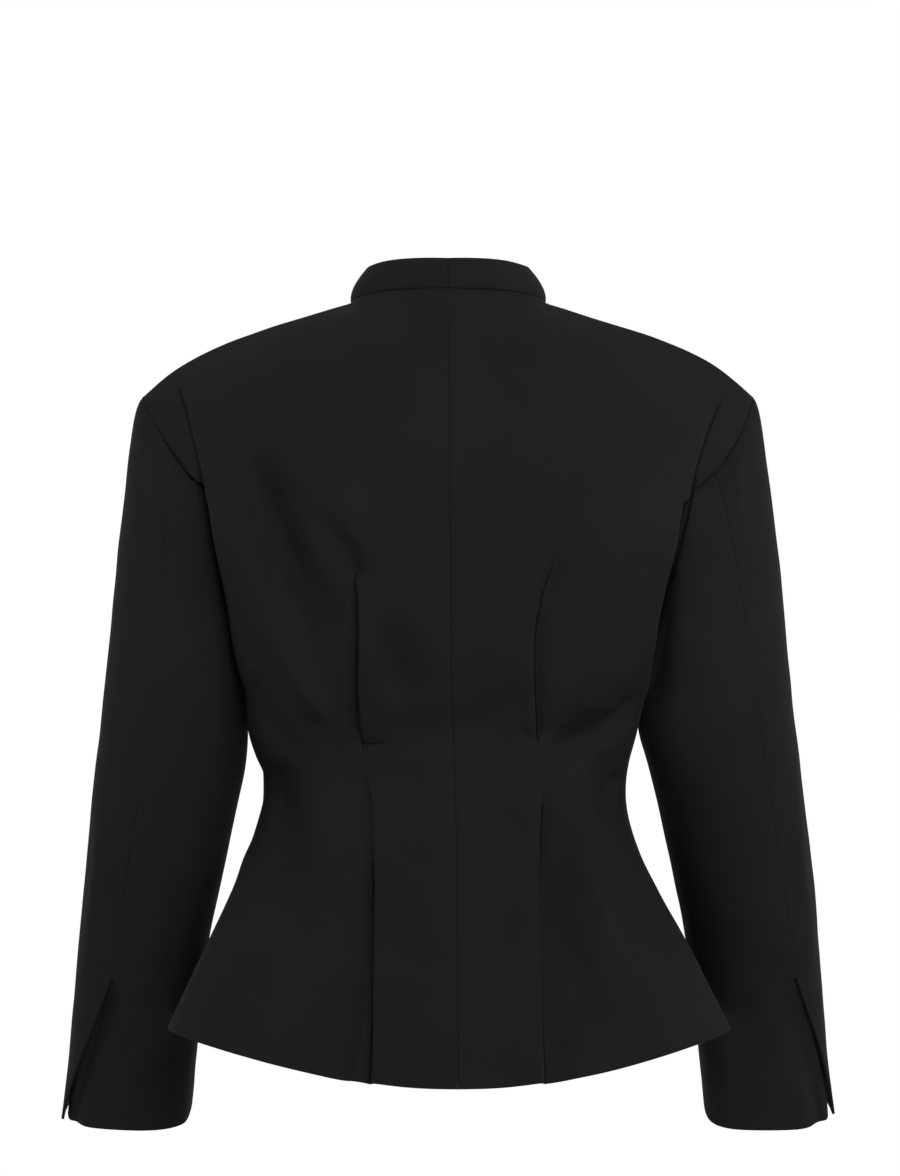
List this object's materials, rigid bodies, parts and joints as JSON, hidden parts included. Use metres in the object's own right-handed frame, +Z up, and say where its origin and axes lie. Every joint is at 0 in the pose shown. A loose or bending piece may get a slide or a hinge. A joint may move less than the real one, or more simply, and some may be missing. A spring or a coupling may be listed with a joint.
{
  "type": "blazer",
  "caption": "Fitted stand-collar blazer in worn form, hollow, with waist tucks, a flared pleated skirt, set-in two-piece sleeves and open cuff vents.",
  "frame": {"origin": "midway between the two side neck points, where the wearer's shoulders carry the garment", "axes": "+Z up, the garment's back faces -Y, +X is the wearer's right"},
  "size_m": [0.5902, 0.3051, 0.6538],
  "materials": {
    "suiting": "fine matte black suiting"
  },
  "bodies": {
    "root": {"back_left": "suiting", "back_right": "suiting", "front_left": "suiting", "front_right": "suiting", "collar_left": "suiting", "collar_right": "suiting", "sleeve_top_left": "suiting", "sleeve_top_right": "suiting", "sleeve_under_left": "suiting", "sleeve_under_right": "suiting"}
  },
  "joints": []
}
